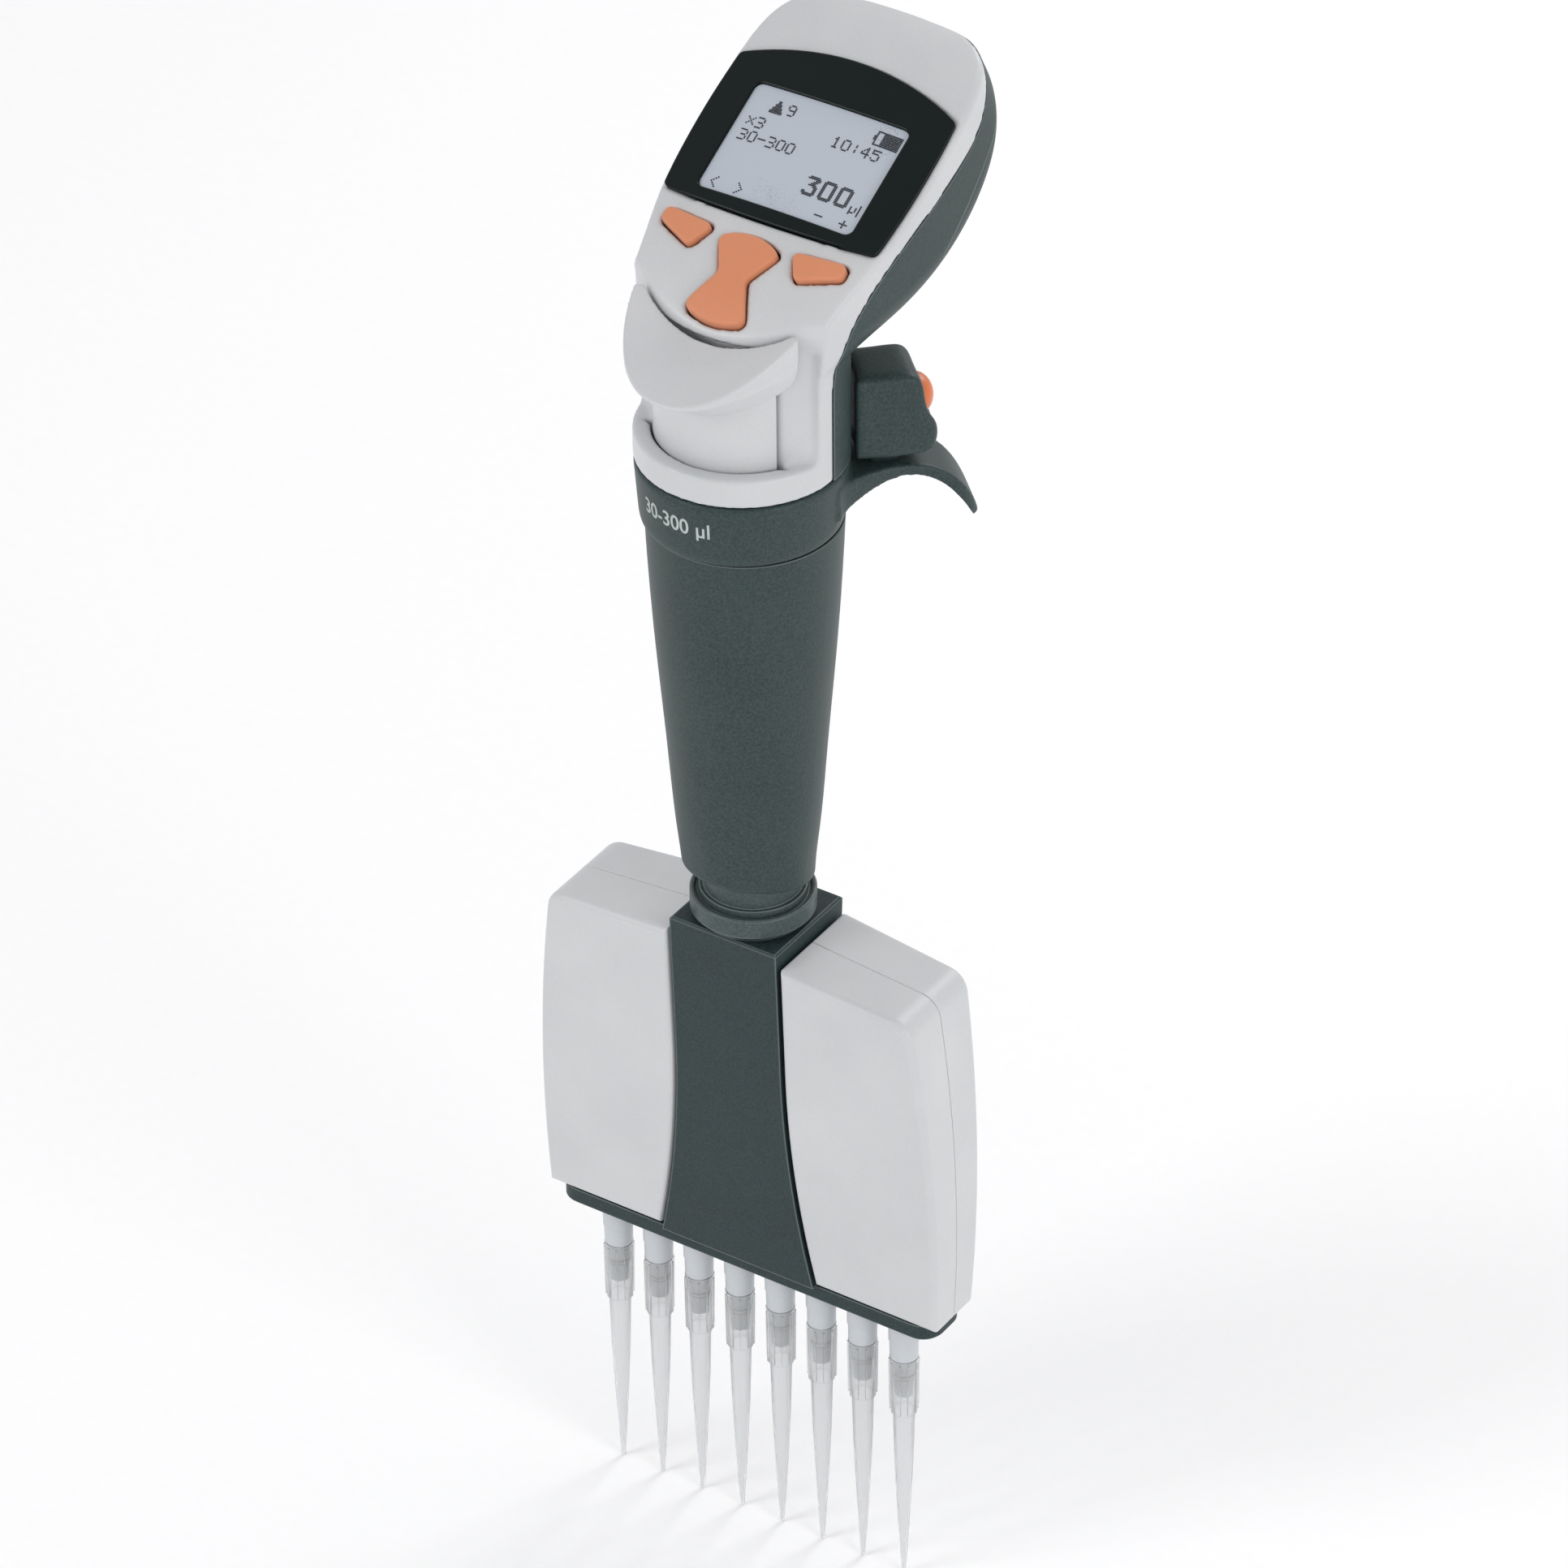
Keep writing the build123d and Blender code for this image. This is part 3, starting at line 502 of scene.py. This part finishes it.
def softened(node):
    """A stand-in with a moulding's rounded edges: given an even skin and relaxed."""
    skin, passes = MOULDED_SKINS[node]
    piece = stand_in(node, node + "_moulded")
    apply_modifier(piece, "REMESH", mode="VOXEL", voxel_size=skin, use_smooth_shade=True)
    relax(piece, passes)
    return piece


def on_face(piece):
    """Moves a piece drawn on the XY plane onto the sloping face of the head."""
    piece.data.transform(Matrix.Translation(FACE_CENTRE) @ Matrix.Rotation(FACE_TILT, 4, "X"))


# ---- mouldings -------------------------------------------------------------


def front_shell():
    """White front of the head: soft lips round display and keys, a well rounded chin."""
    shell = softened("front_housing")

    def near_chin(place):
        forward = place.y < CHIN_FRONT + abs(place.x) * CHIN_SPREAD
        return forward and place.z > CHIN_LOW

    relax(shell, CHIN_PASSES, near_chin)


def trigger_housing():
    """Box of the trigger, with a soft crown round its top."""
    box = softened("trigger_box")
    relax(box, BOX_CROWN_PASSES, lambda place: place.z > BOX_CROWN_LOW)


softened("thumb_button")
softened("thumb_stem")
front_shell()
for key in ("left_key", "right_key", "rocker_key"):
    softened(key)
softened("finger_support")
trigger_housing()
softened("trigger_button")


# ---- display ---------------------------------------------------------------

SIGNS = {
    "0": "01110 10001 10001 10001 10001 10001 01110",
    "1": "00100 01100 00100 00100 00100 00100 01110",
    "3": "11110 00001 00001 01110 00001 00001 11110",
    "4": "00010 00110 01010 10010 11111 00010 00010",
    "5": "11111 10000 11110 00001 00001 10001 01110",
    "9": "01110 10001 10001 01111 00001 00001 01110",
    ":": "00000 00100 00100 00000 00100 00100 00000",
    "-": "00000 00000 00000 11111 00000 00000 00000",
    "+": "00000 00100 00100 11111 00100 00100 00000",
    "x": "00000 10001 01010 00100 01010 10001 00000",
    "<": "00010 00100 01000 10000 01000 00100 00010",
    ">": "01000 00100 00010 00001 00010 00100 01000",
    "u": "0000 0000 1001 1001 1001 1110 1000",
    "l": "1 1 1 1 1 1 1",
    "E": "01111110 11111111 00000111 00001110 00011100 00111110 00000111 00000011 00000011 11000011 "
         "11111111 01111110",  # large three
    "O": "01111110 11111111 11000011 11000011 11000011 11000011 11000011 11000011 11000011 11000011 "
         "11111111 01111110",  # large zero
}


def write(dots, text, column, row):
    """Lights the dots of a text whose upper left dot is given; rows count down."""
    for sign in text:
        lines = SIGNS[sign].split()
        for down, line in enumerate(lines):
            dots |= {(column + right, row + down) for right, dot in enumerate(line) if dot == "1"}
        width = len(lines[0])
        column += width + max(1, width // 4)


# Text, and the column and row of its upper left dot.
DISPLAY_TEXTS = (
    ("9", 24, 6),
    ("x3", 5, 18),
    ("30-300", 5, 27),
    ("10:45", 57, 15),
    ("EOO", 56, 41),
    ("ul", 86, 48),
    ("<", 5, 58),
    (">", 20, 58),
    ("-", 70, 58),
    ("+", 85, 58),
)
PYRAMID_COLUMN = 18
PYRAMID_ROWS = range(6, 14)
BATTERY_KNOB_ROWS = range(7, 10)
BATTERY_KNOB_COLUMN = 77
BATTERY_ROWS = range(4, 13)
BATTERY_COLUMNS = range(78, 93)
BATTERY_USED_COLUMNS = range(79, 82)


def pyramid():
    """Stepped pyramid beside the counter, two dots wider after each second row."""
    dots = set()
    for step, row in enumerate(PYRAMID_ROWS):
        half = 1 + step // 2
        dots |= {(column, row) for column in range(PYRAMID_COLUMN - half, PYRAMID_COLUMN + half)}
    return dots


def battery_sign():
    """Battery, nearly full: a knob, and a case that is empty only at its first columns."""
    dots = {(BATTERY_KNOB_COLUMN, row) for row in BATTERY_KNOB_ROWS}
    for column in BATTERY_COLUMNS:
        dots |= {(column, row) for row in BATTERY_ROWS}
    for column in BATTERY_USED_COLUMNS:
        dots -= {(column, row) for row in BATTERY_ROWS[1:-1]}
    return dots


def display_dots():
    """All dots that are lit, as (column, row) counted from the upper left."""
    dots = pyramid() | battery_sign()
    for text, column, row in DISPLAY_TEXTS:
        write(dots, text, column, row)
    return dots


def display_signs():
    """Lit dots of the display, each a thin separate tile."""
    dots = display_dots()
    bpy.ops.object.select_all(action="DESELECT")
    bpy.ops.mesh.primitive_grid_add(x_subdivisions=DOT_COLUMNS, y_subdivisions=DOT_ROWS, size=1)
    signs = bpy.context.object
    signs.name = "display_signs"
    signs.data.transform(Matrix.Diagonal((DOT_COLUMNS * DOT, DOT_ROWS * DOT, 1, 1)))
    choose_faces(signs, lambda face: (
        math.floor(face.center.x / DOT + DOT_COLUMNS / 2),
        math.floor(DOT_ROWS / 2 - face.center.y / DOT)) not in dots)
    bpy.ops.mesh.delete(type="FACE")
    bpy.ops.mesh.select_all(action="SELECT")
    bpy.ops.mesh.edge_split()
    bpy.ops.mesh.inset(thickness=DOT_GAP, use_individual=True, use_boundary=True)
    bpy.ops.mesh.select_all(action="INVERT")
    bpy.ops.mesh.delete(type="FACE")
    bpy.ops.object.mode_set(mode="OBJECT")
    apply_modifier(signs, "SOLIDIFY", thickness=TILE_THICKNESS, offset=1)
    for vertex in signs.data.vertices:  # the pane is crowned across the head
        vertex.co.z += TILE_LIFT - FACE_CROWN * (vertex.co.x / FACE_HALF) ** 2
    on_face(signs)
    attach(signs, "handle")
    give(signs, lcd_ink())


display_signs()


# ---- print on the turning band ---------------------------------------------


def band_numbers():
    """Volume range printed round the front left of the band."""
    bpy.ops.object.select_all(action="DESELECT")
    bpy.ops.object.text_add()
    numbers = bpy.context.object
    numbers.name = "band_numbers"
    numbers.data.body = PRINT_TEXT
    numbers.data.size = PRINT_SIZE
    numbers.data.offset = PRINT_STROKE
    bpy.ops.object.convert(target="MESH")
    apply_modifier(numbers, "SOLIDIFY", thickness=PRINT_RISE * 2, offset=0)
    ends = [corner[0] for corner in numbers.bound_box]
    narrowing = PRINT_WIDTH / (max(ends) - min(ends))
    for vertex in numbers.data.vertices:
        along, up, out = vertex.co
        radius = BAND_RADIUS + BAND_FLARE * up + PRINT_RISE + out
        angle = PRINT_START + (along - min(ends)) * narrowing / BAND_RADIUS
        vertex.co = (radius * math.sin(angle), UPPER_AXIS_Y - radius * math.cos(angle), PRINT_Z + up)
    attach(numbers, "finger_rest")
    give(numbers, band_print())


band_numbers()


# ---- tips ------------------------------------------------------------------


def turned(name, profile, around):
    """Piece of revolution: a ring is extruded and resized from each (radius, height) to the next."""
    bpy.ops.object.select_all(action="DESELECT")
    radius, height = profile[0]
    bpy.ops.mesh.primitive_circle_add(vertices=around, radius=radius)
    piece = bpy.context.object
    piece.name = name
    bpy.ops.object.mode_set(mode="EDIT")
    bpy.ops.mesh.select_all(action="SELECT")
    bpy.ops.transform.translate(value=(0, 0, height))
    for next_radius, next_height in profile[1:]:
        bpy.ops.mesh.extrude_edges_move(TRANSFORM_OT_translate={"value": (0, 0, next_height - height)})
        factor = next_radius / radius
        bpy.ops.transform.resize(value=(factor, factor, 1), center_override=(0, 0, next_height))
        radius, height = next_radius, next_height
    bpy.ops.mesh.select_all(action="SELECT")
    bpy.ops.mesh.remove_doubles(threshold=WELD)
    bpy.ops.mesh.normals_make_consistent(inside=False)
    bpy.ops.object.mode_set(mode="OBJECT")
    return piece


def ribbed_tip():
    """One pipette tip: a fine cone under a wider collar with raised ribs, hollow all through."""
    profile = [(r * MM, z * MM) for r, z in TIP_PROFILE]
    tip = turned("tip_pattern", profile, TIP_AROUND)

    def is_rib(face):
        low, high = TIP_COLLAR
        outside = math.hypot(face.center.x, face.center.y) > TIP_OUTSIDE
        column = round(math.atan2(face.center.y, face.center.x) / math.tau * TIP_AROUND - 0.5)
        return outside and low < face.center.z < high and column % TIP_RIB_EVERY == 0

    choose_faces(tip, is_rib)
    bpy.ops.mesh.inset(thickness=TIP_RIB_EDGE, depth=TIP_RIB_HEIGHT, use_individual=True)
    bpy.ops.object.mode_set(mode="OBJECT")
    bpy.ops.object.shade_smooth_by_angle(angle=SMOOTH_UNDER)
    return tip


def tip_row():
    """Eight loose copies of the one pattern, each on its own cone."""
    pattern = ribbed_tip()
    for number in range(CHANNELS):
        select_only(pattern)
        bpy.ops.object.duplicate()
        tip = bpy.context.view_layer.objects.active
        tip.name = f"tip_{number + 1}"
        turn = Matrix.Rotation(number * TIP_TURN, 4, "Z")
        place = Matrix.Translation(((number - (CHANNELS - 1) / 2) * PITCH, 0, 0))
        tip.data.transform(place @ turn)
        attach(tip, "tip_set")
        give(tip, FINISHES["tip_polypropylene"])
        if number == 0:
            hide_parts("tips")
    bpy.data.objects.remove(pattern)


tip_row()


# ---- springs ---------------------------------------------------------------


def springs():
    """Stand-ins for the coils of the thumb button's and the trigger's springs, each with a mesh of its
    own.
    """
    ejector = stand_in("ejector_spring", "ejector_coil")
    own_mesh(ejector)
    trigger = stand_in("trigger_spring", "trigger_coil")
    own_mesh(trigger)


springs()


# ---- light, floor and camera -----------------------------------------------


FLOOR_SIZE = 6
FLOOR_HEIGHT = -0.3 * MM
AIR_STRENGTH = 0.68
LIGHT_AIM = Vector((0, 0, 0.18))
# Name, place and size in metres, and power in watts.
SOFT_BOXES = (
    ("key_light", (-0.8, -1.2, 1.0), 0.6, 7.0),
    ("side_light", (1.2, -0.3, 0.5), 0.6, 4.5),
    ("back_light", (0.1, 1.0, 0.9), 0.5, 4.0),
)


def floor():
    """Sheet of white paper under the tips."""
    bpy.ops.object.select_all(action="DESELECT")
    bpy.ops.mesh.primitive_plane_add(size=FLOOR_SIZE, location=(0, 0, FLOOR_HEIGHT))
    ground = bpy.context.object
    ground.name = "studio_floor"
    material, surface = new_material("studio_floor_paper", {"Roughness": 0.9})
    place = add(material, "ShaderNodeTexCoord").outputs["Object"]
    fibre = add(material, "ShaderNodeTexNoise", {"Scale": 1 / (3 * MM), "Detail": 2.0}, {"Vector": place})
    tone = add(material, "ShaderNodeMix", {MIX_A: paint("#FCFCFC"), MIX_B: paint("#FFFFFF")},
               {MIX_FACTOR: fibre.outputs["Fac"]}, data_type="RGBA")
    material.node_tree.links.new(tone.outputs[MIXED], surface.inputs["Base Color"])
    give(ground, material)


def soft_box(name, place, size, power):
    """Square studio light that points from its place to the middle of the object."""
    bpy.ops.object.light_add(type="AREA", location=place)
    light = bpy.context.object
    light.name = name
    light.data.shape = "SQUARE"
    light.data.size = size
    light.data.energy = power
    light.rotation_mode = "QUATERNION"
    light.rotation_quaternion = (Vector(place) - LIGHT_AIM).to_track_quat("Z", "Y")


def studio():
    """Even white air and three soft lights."""
    world = bpy.data.worlds.new("studio_air")
    bpy.context.scene.world = world
    world.use_nodes = True
    background = world.node_tree.nodes["Background"]
    background.inputs["Color"].default_value = paint("#FDFDFF")
    background.inputs["Strength"].default_value = AIR_STRENGTH
    for name, place, size, power in SOFT_BOXES:
        soft_box(name, place, size, power)
    bpy.context.scene.view_settings.view_transform = "Standard"


CAMERA_AZIMUTH = math.radians(33.6)
CAMERA_ELEVATION = math.radians(35.3)
CAMERA_ROLL = math.radians(-0.49)
CAMERA_DISTANCE = 1.561
CAMERA_TARGET = Vector((0, 0, 0.170))
CAMERA_ASIDE = 5.2 * MM
CAMERA_RAISED = -2.2 * MM
CAMERA_SENSOR = 36  # this and the lens are in millimetres
CAMERA_LENS = 202.9
CAMERA_REACH = 20


def camera():
    """Long lens that looks down on the object's front from one side."""
    back = Vector((math.sin(CAMERA_AZIMUTH) * math.cos(CAMERA_ELEVATION),
                   -math.cos(CAMERA_AZIMUTH) * math.cos(CAMERA_ELEVATION),
                   math.sin(CAMERA_ELEVATION)))
    level = Vector((math.cos(CAMERA_AZIMUTH), math.sin(CAMERA_AZIMUTH), 0))
    right = Matrix.Rotation(CAMERA_ROLL, 3, back) @ level
    up = back.cross(right)
    place = CAMERA_TARGET + back * CAMERA_DISTANCE + right * CAMERA_ASIDE + up * CAMERA_RAISED
    bpy.ops.object.camera_add(location=place)
    view = bpy.context.object
    view.name = "studio_camera"
    view.rotation_mode = "QUATERNION"
    view.rotation_quaternion = Matrix((right, up, back)).transposed().to_quaternion()
    view.data.sensor_width = CAMERA_SENSOR
    view.data.lens = CAMERA_LENS
    view.data.clip_end = CAMERA_REACH
    bpy.context.scene.camera = view


floor()
studio()
camera()
